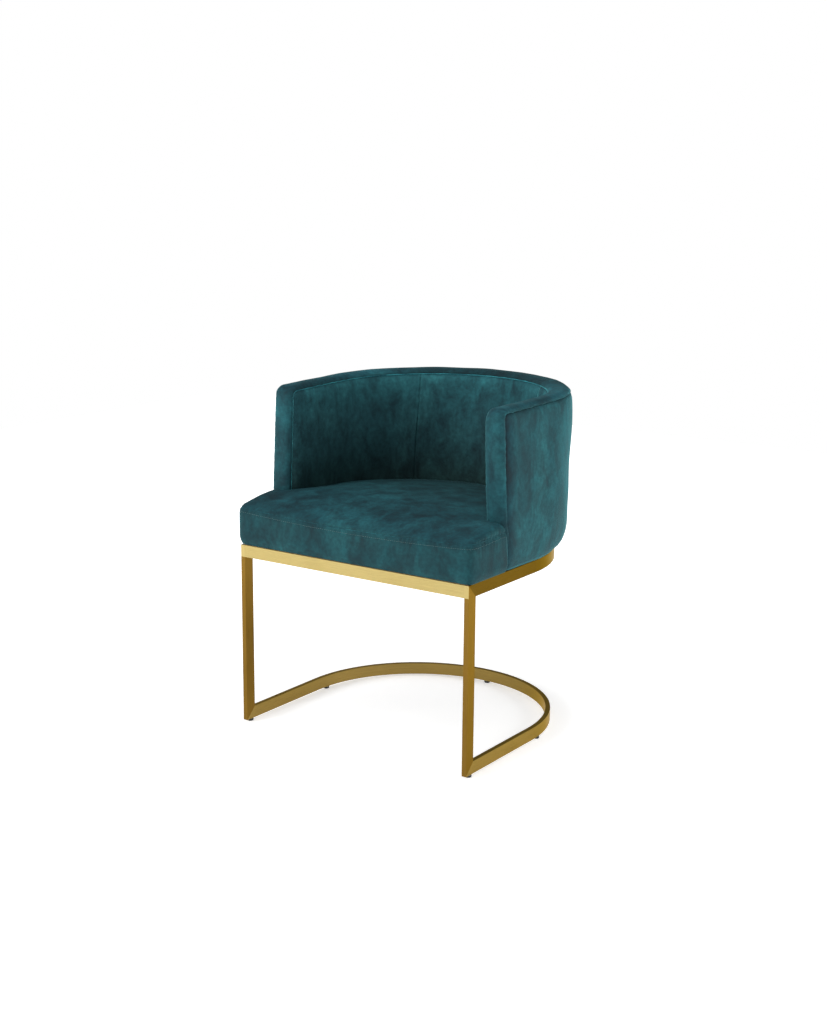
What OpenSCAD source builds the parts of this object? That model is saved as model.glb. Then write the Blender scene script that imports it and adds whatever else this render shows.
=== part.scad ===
// Barrel-back dining chair: an upholstered tub on a base bent from flat rectangular tube.
// Millimetres. +Z is up, the sitter faces -Y, and the origin is on the floor in the middle
// of the chair's footprint. Left and right are the sitter's.

/* [Overall] */
// Front of the seat cushion to the rear of the back
overall_depth = 568; // [560:1:580]
// Floor to the top of the back at the rear
overall_height = 709; // [698:1:720]
// How much lower the rim is at the arm fronts than at the rear
rim_fall = 8; // [5:1:12]

/* [Base] */
// Width over the two front legs
base_w = 558; // [550:1:564]
// Straight run of the side rails, front of the legs to the start of the bend
side_run = 248; // [240:1:256]
// Floor to the top of the upper rails
base_top = 385; // [370:1:400]
// Wide face of the flat tube
tube_w = 25; // [22:1:28]
// Narrow face of the flat tube
tube_t = 10; // [10:0.5:12]
// Wall of the flat tube
tube_wall = 1.2; // [1:0.1:1.4]
// How far the cushion stands in front of the legs
nose = 6; // [4:1:10]

/* [Glides] */
// Diameter of a glide's pad
pad_d = 13; // [11:0.5:15]
// Height of a glide's pad
pad_h = 4.2; // [3.5:0.1:5]
// Diameter of a glide's threaded stud
stud_d = 5; // [4:0.5:5]
// Radial clearance between stud and threaded insert
thread_gap = 0.05; // [0.02:0.01:0.1]
// Position of the side glides, in degrees round the bend
side_glide_turn = 6; // [3:1:12]

/* [Seat] */
// Thickness of the plywood seat board
board_t = 15; // [12:1:18]
// Width of the cushion in front of the arms
cushion_w = 582; // [570:2:590]
// Height of the cushion's crown above the floor
crown_z = 488; // [480:1:496]
// Radius of the cushion's crown, front to back
crown_r = 794; // [760:2:900]
// Radius of the cushion's front corners in plan
corner_r = 24; // [20:2:34]

/* [Back] */
// Radius of the back's outer face in plan
back_r = 287; // [284:1:290]
// Thickness of the back at its rim
rim_t = 44; // [40:1:48]
// Height where the outer face starts to tuck in towards the base
tuck_z = 510; // [490:5:530]
// Distance from the cushion's front to the foot of the arm fronts
arm_set = 134; // [128:1:144]
// How far the arm fronts lean forward from foot to rim
arm_lean = 8; // [4:1:12]
// Position of the seams inside the back, in degrees round the bend from each side
seam_turn = 52; // [46:1:58]
// Thickness of the moulded plywood shell
shell_t = 9; // [7:1:10]
// Thickness of the upholstery fabric with its lining
cloth_t = 1.5; // [1.2:0.1:2]

/* [Hidden] */

eps = 0.01;
big = 1000;
smooth = 180;
loft_fn = 72;
loft_front = -300;

// base
leg_front = nose - overall_depth / 2;
bend_y = leg_front + side_run;
base_r = base_w / 2;
rail_bottom = base_top - tube_w;
foot_gap = 0.8;
floor_z = pad_h + foot_gap;
tube_mid_r = base_r - tube_t / 2;

// threaded inserts and glides
insert_d = 7;
insert_len = 12;
insert_flange_d = 9.5;
stud_base = 1.6;
stud_len = 14.4;
front_glide_set = 16;

// tabs welded inside the upper rails
tab_w = 30;
tab_reach = 27;
tab_t = 3;
tab_hole_d = 6.6;
tab_hole_set = 15;
front_tab_x = 130;
rear_tab_turn = 55;

// M6 bolts, washers and tee nuts
bolt_d = 6;
bolt_head_d = 11;
bolt_head_h = 3.3;
washer_d = 12.5;
washer_t = 1.2;
nut_barrel_d = 8;
nut_barrel_h = 10;
nut_flange_d = 19;
nut_flange_t = 1.5;
nut_bore_d = 6.1;

// seat
board_inset = 4;
board_top = base_top + board_t;
skirt_z = base_top + 1;
panel_gap = 0.5;
crown_y = leg_front + 232;

// back
back_y = overall_depth / 2 - back_r;
shell_r = base_r - 8;
shell_top_r = shell_r + 2;
shell_top_y = back_y - 5;
frame_top = overall_height - rim_fall - 14;
soft_gap = 0.3;
tuck_steps = 8;
liner_knee = 490;
liner_r = 238;
liner_y = bend_y + 2;
liner_top_r = back_r - rim_t;
liner_top_y = back_y + 1;
ring_t = 18;
ring_w = 24;
ring_z = board_top + ring_t;
ring_r = shell_r - shell_t - panel_gap;
ring_mid_r = ring_r - ring_w / 2;
ring_bolt_turns = [20, 62, 118, 160];
post_w = 16;
post_d = 36;
post_set = 7.5;
post_bolt_set = 25;
post_insert_d = 9;
post_insert_h = 14;
arm_reach_turn = 60;
arm_foot = arm_set - overall_depth / 2;
ring_front = arm_foot + 60;
arm_rise = overall_height - skirt_z;
arm_tilt = atan(arm_lean / arm_rise);
rim_tilt = atan(rim_fall / (overall_depth - arm_set));

// dust cover
lining_t = 0.6;
lining_inset = 2;
staple_w = 10;
staple_t = 0.7;
staple_h = 0.5;
staple_turns = [12 : 12 : 168];

function glide_spots() = [
    [-tube_mid_r, leg_front + front_glide_set],
    [tube_mid_r, leg_front + front_glide_set],
    round_bend(180 - side_glide_turn, tube_mid_r),
    round_bend(side_glide_turn, tube_mid_r),
    round_bend(90, tube_mid_r)];

// a point on an arc about the bend's centre
function round_bend(turn, r) = [r * cos(turn), bend_y + r * sin(turn)];

// seat bolts: [x, y] of each tab's hole
function seat_bolt_spots() = [
    [-front_tab_x, leg_front + tube_t + tab_hole_set],
    [front_tab_x, leg_front + tube_t + tab_hole_set],
    [-(base_r - tube_t - tab_hole_set), bend_y],
    [base_r - tube_t - tab_hole_set, bend_y],
    round_bend(rear_tab_turn, base_r - tube_t - tab_hole_set),
    round_bend(180 - rear_tab_turn, base_r - tube_t - tab_hole_set)];

// bolts up through the seat board into the ring under the back
function ring_bolt_spots() = [for (turn = ring_bolt_turns) round_bend(turn, ring_mid_r)];

// bolts up through the seat board into the arm posts
function post_bolt_spots() = [for (side = [-1, 1])
    [side * (shell_r - shell_t - post_w / 2), arm_foot + post_bolt_set]];

// how far the outer face has moved from the rim's plan to the base's plan at height z
function tucked(z) = z >= tuck_z ? 0 : pow((tuck_z - z) / (tuck_z - skirt_z), 2);
function outer_r(z) = back_r - (back_r - base_r + 2) * tucked(z);
function outer_y(z) = back_y - (back_y - bend_y) * tucked(z);

// a straight-sided plan closed by a half circle at the rear
module plan(r, centre_y, front_y) {
    translate([0, centre_y])
    intersection() {
        circle(r);
        translate([-r, 0]) square([2 * r, r]);
    }
    translate([-r, front_y]) square([2 * r, centre_y - front_y]);
}

module slice(r, centre_y, front_y, z) {
    translate([0, 0, z]) linear_extrude(eps) plan(r, centre_y, front_y, $fn = loft_fn);
}

// solid between two plans at two heights
module loft(r0, y0, z0, r1, y1, z1) {
    hull() {
        slice(r0, y0, loft_front, z0);
        slice(r1, y1, loft_front, z1 - eps);
    }
}

// ---- base ----

module tube_plan(inset) {
    difference() {
        plan(base_r - inset, bend_y, leg_front, $fn = smooth);
        plan(base_r - tube_t + inset, bend_y, leg_front - eps, $fn = smooth);
    }
}

// bent flat tube: two straight sides and a half turn
module bent_tube() {
    difference() {
        linear_extrude(tube_w) tube_plan(0);
        translate([0, 0, tube_wall]) linear_extrude(tube_w - 2 * tube_wall) tube_plan(tube_wall);
    }
}

// everything in front of and below the mitre at the top of the legs
module below_top_mitre() {
    translate([-big / 2, leg_front, base_top]) rotate([45, 0, 0])
        translate([0, -big, -big / 2]) cube([big, big, big]);
}

// everything in front of and above the mitre at the foot of the legs
module above_foot_mitre() {
    translate([-big / 2, leg_front, floor_z]) rotate([-45, 0, 0])
        translate([0, -big, -big / 2]) cube([big, big, big]);
}

module front_rail() {
    length = base_w - 2 * tube_t;
    color("goldenrod")
    translate([-length / 2, leg_front, rail_bottom])
    difference() {
        cube([length, tube_t, tube_w]);
        translate([-eps, tube_wall, tube_wall])
            cube([length + 2 * eps, tube_t - 2 * tube_wall, tube_w - 2 * tube_wall]);
    }
}

module upper_rail() {
    color("goldenrod")
    difference() {
        translate([0, 0, rail_bottom]) bent_tube();
        below_top_mitre();
    }
}

module floor_rail() {
    color("goldenrod")
    difference() {
        translate([0, 0, floor_z]) bent_tube();
        above_foot_mitre();
        for (spot = glide_spots())
            translate([spot[0], spot[1], floor_z - 1])
                cylinder(h = tube_wall + 2, d = insert_d, $fn = smooth);
    }
}

module leg(side) {
    color("goldenrod")
    intersection() {
        translate([side * tube_mid_r - tube_t / 2, leg_front, floor_z])
        difference() {
            cube([tube_t, tube_w, base_top - floor_z]);
            translate([tube_wall, tube_wall, -eps])
                cube([tube_t - 2 * tube_wall, tube_w - 2 * tube_wall,
                      base_top - floor_z + 2 * eps]);
        }
        below_top_mitre();
        above_foot_mitre();
    }
}

module left_leg() {
    leg(-1);
}

module right_leg() {
    leg(1);
}

// flat tab with one hole, its outer edge shaped to the rail it is welded to
module tab(spot, turn) {
    difference() {
        intersection() {
            translate([spot[0], spot[1], base_top - tab_t]) rotate(turn)
                translate([tab_hole_set - tab_reach, -tab_w / 2, 0])
                    cube([2 * tab_reach, tab_w, tab_t]);
            translate([0, 0, base_top - tab_t]) linear_extrude(tab_t)
                plan(base_r - tube_t, bend_y, leg_front + tube_t, $fn = smooth);
        }
        translate([spot[0], spot[1], base_top - tab_t - 1])
            cylinder(h = tab_t + 2, d = tab_hole_d, $fn = smooth);
    }
}

module mounting_tabs() {
    turns = [-90, -90, 180, 0, rear_tab_turn, 180 - rear_tab_turn];
    color("darkgoldenrod")
    for (i = [0 : len(turns) - 1]) tab(seat_bolt_spots()[i], turns[i]);
}

// ---- glides ----

module glide_inserts() {
    color("silver")
    for (spot = glide_spots())
        translate([spot[0], spot[1], 0])
        difference() {
            union() {
                translate([0, 0, floor_z]) cylinder(h = insert_len, d = insert_d, $fn = smooth);
                translate([0, 0, pad_h]) cylinder(h = foot_gap, d = insert_flange_d, $fn = smooth);
            }
            translate([0, 0, pad_h - 1])
                cylinder(h = insert_len + foot_gap + 2, d = stud_d + 2 * thread_gap, $fn = smooth);
        }
}

module glide_pad(index) {
    spot = glide_spots()[index];
    edge = 1;
    color("black")
    translate([spot[0], spot[1], 0])
    difference() {
        union() {
            cylinder(h = edge, d1 = pad_d - 2 * edge, d2 = pad_d, $fn = smooth);
            translate([0, 0, edge]) cylinder(h = pad_h - edge, d = pad_d, $fn = smooth);
        }
        translate([0, 0, stud_base]) cylinder(h = pad_h, d = stud_d, $fn = smooth);
    }
}

module glide_stud(index) {
    spot = glide_spots()[index];
    color("silver")
    translate([spot[0], spot[1], stud_base]) cylinder(h = stud_len, d = stud_d, $fn = smooth);
}

// ---- seat ----

module holes(spots, z, h, d) {
    for (spot = spots) translate([spot[0], spot[1], z]) cylinder(h = h, d = d, $fn = smooth);
}

module seat_board() {
    color("burlywood")
    difference() {
        translate([0, 0, base_top]) linear_extrude(board_t)
            plan(base_r - board_inset, bend_y, leg_front + board_inset, $fn = smooth);
        holes(seat_bolt_spots(), base_top - 1, board_t + 2, nut_barrel_d);
        holes(seat_bolt_spots(), board_top - nut_flange_t, nut_flange_t + 1, nut_flange_d);
        holes(ring_bolt_spots(), base_top - 1, board_t + 2, tab_hole_d);
        holes(post_bolt_spots(), base_top - 1, board_t + 2, tab_hole_d);
    }
}

module bolt(length) {
    translate([0, 0, -bolt_head_h]) cylinder(h = bolt_head_h, d = bolt_head_d, $fn = smooth);
    cylinder(h = length, d = bolt_d, $fn = smooth);
}

module washer() {
    difference() {
        cylinder(h = washer_t, d = washer_d, $fn = smooth);
        translate([0, 0, -1]) cylinder(h = washer_t + 2, d = bolt_d, $fn = smooth);
    }
}

// tee nut seen with its flange on top at height 0
module tee_nut() {
    difference() {
        union() {
            translate([0, 0, -nut_flange_t])
                cylinder(h = nut_flange_t, d = nut_flange_d, $fn = smooth);
            translate([0, 0, -nut_flange_t - nut_barrel_h])
                cylinder(h = nut_barrel_h + eps, d = nut_barrel_d, $fn = smooth);
        }
        translate([0, 0, -big / 10]) cylinder(h = big / 5, d = nut_bore_d, $fn = smooth);
    }
}

module seat_bolts() {
    color("silver")
    for (spot = seat_bolt_spots())
        translate([spot[0], spot[1], base_top - tab_t - washer_t])
            bolt(board_t + tab_t - 1);
}

module seat_washers() {
    color("silver")
    for (spot = seat_bolt_spots())
        translate([spot[0], spot[1], base_top - tab_t - washer_t]) washer();
}

module seat_tee_nuts() {
    color("silver")
    for (spot = seat_bolt_spots()) translate([spot[0], spot[1], board_top]) tee_nut();
}

// cushion in plan: full width in front of the arms, round between them
module cushion_front_plan(inset) {
    half = cushion_w / 2 - inset;
    front = -overall_depth / 2 + inset;
    r = corner_r - inset;
    for (side = [-1, 1])
        translate([side * (half - r), front + r]) circle(r, $fn = smooth);
    translate([-half + r, front]) square([2 * half - 2 * r, r]);
    translate([-half, front + r]) square([2 * half, overall_depth / 2]);
}

// everything in front of the arms' sloping front plane, moved back by set
module before_arms(set) {
    translate([-big / 2, arm_foot + set, skirt_z]) rotate([arm_tilt, 0, 0])
        translate([0, -big, -big / 2]) cube([big, big, big]);
}

// everything above the rim's sloping top, lowered by drop
module above_rim(drop) {
    translate([-big / 2, overall_depth / 2, overall_height - drop]) rotate([rim_tilt, 0, 0])
        translate([0, -big, 0]) cube([big, 2 * big, big / 5]);
}

module crown(drop) {
    translate([-big / 2, crown_y, crown_z - crown_r]) rotate([0, 90, 0])
        cylinder(h = big, r = crown_r - drop, $fn = 4 * smooth);
}

// the cushion's volume above z, drawn in from its outer face by inset
module cushion(inset, z) {
    intersection() {
        translate([0, 0, z]) linear_extrude(big / 5) cushion_front_plan(inset);
        before_arms(-panel_gap - inset);
        crown(inset);
    }
}

module cushion_tail(inset, z, drop) {
    r = liner_r - panel_gap - inset;
    intersection() {
        translate([0, 0, z]) linear_extrude(big / 5)
            plan(r, liner_y - 2, -overall_depth / 2 + corner_r, $fn = smooth);
        crown(drop);
    }
}

module seat_foam() {
    color("lightyellow")
    union() {
        cushion(cloth_t, board_top);
        cushion_tail(cloth_t, board_top, cloth_t);
    }
}

module seat_top_panel() {
    color("teal")
    difference() {
        union() {
            cushion(0, board_top);
            cushion_tail(0, board_top, 0);
        }
        crown(cloth_t);
    }
}

module seat_boxing() {
    color("darkslategray")
    difference() {
        intersection() {
            cushion(0, skirt_z);
            crown(cloth_t);
        }
        cushion(cloth_t, skirt_z + cloth_t);
        cushion_tail(0, skirt_z - 1, 0);
        translate([0, 0, base_top]) linear_extrude(board_t)
            plan(base_r - board_inset, bend_y, leg_front + board_inset, $fn = smooth);
    }
}

module dust_cover() {
    r = base_r - tube_t - lining_inset;
    color("dimgray")
    difference() {
        translate([0, 0, base_top - lining_t]) linear_extrude(lining_t)
            plan(r, bend_y, leg_front + tube_t + lining_inset, $fn = smooth);
        tab_clearance();
        holes(ring_bolt_spots(), base_top - 1, 2, washer_d + 1);
        holes(post_bolt_spots(), base_top - 1, 2, washer_d + 1);
    }
}

// clearance for the tabs in the dust cover
module tab_clearance() {
    turns = [-90, -90, 180, 0, rear_tab_turn, 180 - rear_tab_turn];
    for (i = [0 : len(turns) - 1])
        translate([seat_bolt_spots()[i][0], seat_bolt_spots()[i][1], base_top - tab_t])
            rotate(turns[i])
                translate([tab_hole_set - tab_reach - 1, -tab_w / 2 - 1, 0])
                    cube([2 * tab_reach, tab_w + 2, 2 * tab_t]);
}

module dust_cover_staples() {
    r = base_r - tube_t - lining_inset - 6;
    color("silver")
    for (turn = staple_turns)
        translate([r * cos(turn), bend_y + r * sin(turn), base_top - lining_t - staple_h])
            rotate(turn) translate([-staple_t / 2, -staple_w / 2, 0])
                cube([staple_t, staple_w, staple_h]);
}

// ---- back ----

// the back's outer volume from the skirt to the rim, drawn in by inset
module outer(inset) {
    step = (tuck_z - skirt_z) / tuck_steps;
    for (i = [0 : tuck_steps - 1]) {
        z0 = skirt_z + i * step;
        z1 = z0 + step;
        loft(outer_r(z0) - inset, outer_y(z0), z0, outer_r(z1) - inset, outer_y(z1), z1);
    }
    translate([0, 0, tuck_z]) linear_extrude(overall_height - tuck_z)
        plan(back_r - inset, back_y, loft_front, $fn = loft_fn);
}

// the hollow inside the back, grown by outset
module hollow(outset) {
    translate([0, 0, skirt_z]) linear_extrude(liner_knee - skirt_z)
        plan(liner_r + outset, liner_y, loft_front, $fn = loft_fn);
    loft(liner_r + outset, liner_y, liner_knee,
         liner_top_r + outset, liner_top_y, overall_height);
}

// the shell's volume from the seat board to the top of the frame, drawn in by inset
module shell_core(inset) {
    loft(shell_r - inset, bend_y, board_top, shell_top_r - inset, shell_top_y, frame_top);
}

module heights(z0, z1) {
    translate([-big / 2, -big / 2, z0]) cube([big, big, z1 - z0]);
}

module board_space() {
    translate([0, 0, base_top]) linear_extrude(board_t)
        plan(base_r - board_inset + soft_gap, bend_y, loft_front, $fn = loft_fn);
}

module back_shell() {
    color("tan")
    difference() {
        shell_core(0);
        translate([0, 0, -eps]) shell_core(shell_t);
        translate([0, 0, eps]) shell_core(shell_t);
        before_arms(post_set);
    }
}

module back_base_ring() {
    color("burlywood")
    difference() {
        translate([0, 0, board_top]) linear_extrude(ring_t)
            difference() {
                plan(ring_r, bend_y, ring_front, $fn = smooth);
                plan(ring_r - ring_w, bend_y, ring_front - 1, $fn = smooth);
            }
        holes(ring_bolt_spots(), board_top - 1, ring_t + 2, nut_barrel_d);
        holes(ring_bolt_spots(), ring_z - nut_flange_t, nut_flange_t + 1, nut_flange_d);
    }
}

module arm_post(side) {
    outer_x = shell_r - shell_t - soft_gap;
    color("burlywood")
    difference() {
        translate([side > 0 ? outer_x - post_w : -outer_x, -big / 2, board_top])
            cube([post_w, big, frame_top - board_top]);
        before_arms(post_set);
        difference() {
            heights(0, big);
            before_arms(post_set + post_d);
        }
        holes(post_bolt_spots(), board_top - 1, post_insert_h + 1, post_insert_d);
    }
}

module left_arm_post() {
    arm_post(-1);
}

module right_arm_post() {
    arm_post(1);
}

module arm_post_inserts() {
    color("silver")
    for (spot = post_bolt_spots())
        translate([spot[0], spot[1], board_top])
        difference() {
            cylinder(h = post_insert_h, d = post_insert_d, $fn = smooth);
            translate([0, 0, -1]) cylinder(h = post_insert_h + 2, d = nut_bore_d, $fn = smooth);
        }
}

module back_bolts() {
    color("silver")
    for (spot = concat(ring_bolt_spots(), post_bolt_spots()))
        translate([spot[0], spot[1], base_top - washer_t])
            bolt(washer_t + board_t + post_insert_h - 1);
}

module back_washers() {
    color("silver")
    for (spot = concat(ring_bolt_spots(), post_bolt_spots()))
        translate([spot[0], spot[1], base_top - washer_t]) washer();
}

module back_tee_nuts() {
    color("silver")
    for (spot = ring_bolt_spots()) translate([spot[0], spot[1], ring_z]) tee_nut();
}

module inside_foam() {
    color("lightyellow")
    difference() {
        intersection() {
            shell_core(shell_t + soft_gap);
            heights(ring_z, frame_top);
        }
        hollow(cloth_t + soft_gap);
        before_arms(post_set + soft_gap);
        left_arm_post();
        right_arm_post();
    }
}

module outside_padding() {
    color("lightyellow")
    difference() {
        intersection() {
            outer(cloth_t + soft_gap);
            heights(skirt_z, overall_height);
        }
        above_rim(cloth_t + soft_gap);
        before_arms(cloth_t + soft_gap);
        hollow(cloth_t + soft_gap);
        board_space();
        difference() {
            union() {
                shell_core(-soft_gap);
                translate([0, 0, soft_gap]) shell_core(-soft_gap);
                translate([0, 0, skirt_z]) linear_extrude(board_t + soft_gap)
                    plan(shell_r + soft_gap, bend_y, loft_front, $fn = loft_fn);
            }
            before_arms(post_set - soft_gap);
        }
    }
}

// wedge between two turns about the bend's centre
module wedge(from, to) {
    translate([0, bend_y, 0]) linear_extrude(big)
        polygon([[0, 0], [big * cos(from), big * sin(from)], [big * cos(to), big * sin(to)]]);
}

// the part of the inside cover between two turns
module inside_panel(from, to) {
    color("teal")
    difference() {
        intersection() {
            hollow(cloth_t);
            heights(ring_z, overall_height);
            wedge(from, to);
        }
        hollow(0);
        above_rim(cloth_t);
        before_arms(cloth_t);
    }
}

module left_inside_panel() {
    inside_panel(180 - seam_turn, 180 + arm_reach_turn);
}

module middle_inside_panel() {
    inside_panel(seam_turn, 180 - seam_turn);
}

module right_inside_panel() {
    inside_panel(-arm_reach_turn, seam_turn);
}

module outside_panel() {
    color("darkslategray")
    difference() {
        intersection() {
            outer(0);
            heights(skirt_z, overall_height);
        }
        outer(cloth_t);
        above_rim(cloth_t);
        before_arms(cloth_t);
    }
}

// one strip of cloth over the rim and down both arm fronts
module rim_band() {
    color("teal")
    difference() {
        outer(0);
        hollow(0);
        above_rim(0);
        before_arms(0);
        board_space();
        difference() {
            heights(0, overall_height);
            above_rim(cloth_t);
            before_arms(cloth_t);
        }
    }
}

front_rail();
upper_rail();
left_leg();
right_leg();
floor_rail();
mounting_tabs();
glide_inserts();
glide_pad(0);  // glide_pad_front_left
glide_pad(1);  // glide_pad_front_right
glide_pad(2);  // glide_pad_side_left
glide_pad(3);  // glide_pad_side_right
glide_pad(4);  // glide_pad_rear
glide_stud(0);  // glide_stud_front_left
glide_stud(1);  // glide_stud_front_right
glide_stud(2);  // glide_stud_side_left
glide_stud(3);  // glide_stud_side_right
glide_stud(4);  // glide_stud_rear
seat_board();
seat_bolts();
seat_washers();
seat_tee_nuts();
seat_foam();
seat_top_panel();
seat_boxing();
dust_cover();
dust_cover_staples();
back_shell();
back_base_ring();
left_arm_post();
right_arm_post();
back_bolts();
back_washers();
back_tee_nuts();
arm_post_inserts();
inside_foam();
outside_padding();
left_inside_panel();
middle_inside_panel();
right_inside_panel();
outside_panel();
rim_band();
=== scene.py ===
import math

import bmesh
import bpy
import numpy as np
from mathutils import Matrix, Vector, noise
from mathutils.bvhtree import BVHTree


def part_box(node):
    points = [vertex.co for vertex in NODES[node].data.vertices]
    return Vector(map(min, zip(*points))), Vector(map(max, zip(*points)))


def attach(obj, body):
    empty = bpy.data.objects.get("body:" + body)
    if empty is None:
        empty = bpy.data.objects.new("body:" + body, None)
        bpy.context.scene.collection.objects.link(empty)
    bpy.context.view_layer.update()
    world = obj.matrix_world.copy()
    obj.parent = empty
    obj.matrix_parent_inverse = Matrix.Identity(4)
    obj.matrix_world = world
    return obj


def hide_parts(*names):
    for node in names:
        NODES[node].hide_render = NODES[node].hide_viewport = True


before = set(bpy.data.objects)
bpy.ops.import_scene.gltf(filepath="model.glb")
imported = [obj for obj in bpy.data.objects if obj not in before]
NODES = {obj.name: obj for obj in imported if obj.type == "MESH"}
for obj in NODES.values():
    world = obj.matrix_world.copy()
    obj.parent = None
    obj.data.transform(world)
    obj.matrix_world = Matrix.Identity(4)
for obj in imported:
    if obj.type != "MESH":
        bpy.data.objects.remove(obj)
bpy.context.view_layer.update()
ROOT = "chair"

# ---------------------------------------------------------------- sizes, from the frame


def box(node):
    lo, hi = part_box(node)
    return Vector(lo), Vector(hi)


panel_lo, panel_hi = box("outside_panel")
rail_lo, rail_hi = box("upper_rail")
boxing_lo, boxing_hi = box("seat_boxing")

BACK_R = panel_hi.x                      # outer face in plan
BACK_Y = panel_hi.y - BACK_R
BASE_R = rail_hi.x
BEND_Y = rail_hi.y - BASE_R
RIM_Z = box("rim_band")[1].z
SKIRT_Z = panel_lo.z
TUCK_Z = SKIRT_Z + 0.124
RIM_T = 0.044
RIM_FALL = 0.008                         # how much lower the rim is at the arm fronts
SEAM_TURN = math.radians(52)             # where the inside seams are, round from each side
LINER_R, LINER_Y = 0.240, BEND_Y + 0.002
LINER_TOP_R, LINER_TOP_Y = BACK_R - RIM_T - 0.001, BACK_Y + 0.001
KNEE_Z = 0.490
ARM_FOOT_Y, ARM_FRONT_Y = -0.145, -0.158
WING_TOP_Z = 0.480
BOARD_TOP = box("seat_board")[1].z
ARM_LEAN, LEAN_Z = 0.050, 0.470          # how steeply the arms lean in, and from what height
ROLL_Z, BELLY_Z = SKIRT_Z + 0.025, 0.640
CUSHION_W = boxing_hi.x
FRONT_Y = boxing_lo.y


def smoothstep(x, a=0.0, b=1.0):
    t = min(1.0, max(0.0, (x - a) / (b - a)))
    return t * t * (3 - 2 * t)


def bell(x, width):
    return math.exp(-(x / width) ** 2)


# ---------------------------------------------------------------- materials


def new_material(name):
    m = bpy.data.materials.new(name)
    m.use_nodes = True
    nt = m.node_tree
    nt.nodes.clear()
    out = nt.nodes.new("ShaderNodeOutputMaterial")
    bsdf = nt.nodes.new("ShaderNodeBsdfPrincipled")
    nt.links.new(bsdf.outputs[0], out.inputs[0])
    coord = nt.nodes.new("ShaderNodeTexCoord")
    return m, nt, bsdf, coord.outputs["Object"]


def mapped(nt, coord, scale):
    n = nt.nodes.new("ShaderNodeMapping")
    n.inputs["Scale"].default_value = scale
    nt.links.new(coord, n.inputs["Vector"])
    return n.outputs[0]


def noise_tex(nt, vec, scale, detail=4.0, rough=0.55, distortion=0.0):
    n = nt.nodes.new("ShaderNodeTexNoise")
    n.inputs["Scale"].default_value = scale
    n.inputs["Detail"].default_value = detail
    n.inputs["Roughness"].default_value = rough
    n.inputs["Distortion"].default_value = distortion
    nt.links.new(vec, n.inputs["Vector"])
    return n.outputs["Fac"]


def ramp(nt, fac, stops):
    n = nt.nodes.new("ShaderNodeValToRGB")
    cr = n.color_ramp
    while len(cr.elements) < len(stops):
        cr.elements.new(0.5)
    for e, (pos, col) in zip(cr.elements, stops):
        e.position = pos
        e.color = (*col, 1.0) if len(col) == 3 else col
    nt.links.new(fac, n.inputs[0])
    return n.outputs[0]


def grey(nt, fac, lo, hi, a=0.3, b=0.7):
    n = nt.nodes.new("ShaderNodeMapRange")
    n.inputs["From Min"].default_value = a
    n.inputs["From Max"].default_value = b
    n.inputs["To Min"].default_value = lo
    n.inputs["To Max"].default_value = hi
    nt.links.new(fac, n.inputs["Value"])
    return n.outputs[0]


def bump(nt, height, strength, distance, normal=None):
    n = nt.nodes.new("ShaderNodeBump")
    n.inputs["Strength"].default_value = strength
    n.inputs["Distance"].default_value = distance
    nt.links.new(height, n.inputs["Height"])
    if normal is not None:
        nt.links.new(normal, n.inputs["Normal"])
    return n.outputs[0]


def mix(nt, kind, fac, a, b):
    n = nt.nodes.new("ShaderNodeMix")
    n.data_type = "RGBA"
    n.blend_type = kind
    if isinstance(fac, float):
        n.inputs[0].default_value = fac
    else:
        nt.links.new(fac, n.inputs[0])
    for sock, v in ((n.inputs[6], a), (n.inputs[7], b)):
        if isinstance(v, tuple):
            sock.default_value = (*v, 1.0)
        else:
            nt.links.new(v, sock)
    return n.outputs[2]


def brass(name, grain, tint, corner=None):
    """Brushed brass plate: grain is the scale of the brushing along x, y and z, and corner is a
    painted highlight: the lighter tint laid on faces that look forward, above the foot of the front rail."""
    m, nt, p, co = new_material(name)
    streak = noise_tex(nt, mapped(nt, co, grain), 1.0, 6.0, 0.7)
    cloud = noise_tex(nt, co, 9.0, 3.0, 0.5)
    tone = ramp(nt, streak, [(0.25, tuple(0.72 * c for c in tint)), (0.55, tint),
                             (0.85, tuple(min(1.0, 1.22 * c) for c in tint))])
    # Painted highlight: faces that look forward, above the foot of the front rail, take the lighter corner
    # tint.
    if corner:
        high = nt.nodes.new("ShaderNodeSeparateXYZ")
        nt.links.new(co, high.inputs[0])
        facing = nt.nodes.new("ShaderNodeNewGeometry")
        turned = nt.nodes.new("ShaderNodeSeparateXYZ")
        nt.links.new(facing.outputs["Normal"], turned.inputs[0])
        above = grey(nt, high.outputs["Z"], 0.0, 1.0, rail_lo.z - 0.0002, rail_lo.z + 0.0002)
        ahead = grey(nt, turned.outputs["Y"], 1.0, 0.0, -0.8, -0.4)
        front_highlight_mask = nt.nodes.new("ShaderNodeMath")
        front_highlight_mask.operation = "MULTIPLY"
        nt.links.new(above, front_highlight_mask.inputs[0])
        nt.links.new(ahead, front_highlight_mask.inputs[1])
        tone = mix(nt, "MIX", front_highlight_mask.outputs[0], tone, corner)
    stain = ramp(nt, cloud, [(0.3, (0.86, 0.84, 0.78)), (0.7, (1.0, 1.0, 1.0))])
    nt.links.new(mix(nt, "MULTIPLY", 0.7, tone, stain), p.inputs["Base Color"])
    nt.links.new(grey(nt, streak, 0.24, 0.42), p.inputs["Roughness"])
    p.inputs["Specular Tint"].default_value = (1.0, 0.80, 0.45, 1)
    p.inputs["Metallic"].default_value = 1.0
    nt.links.new(bump(nt, streak, 0.22, 0.0002), p.inputs["Normal"])
    return m


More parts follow.
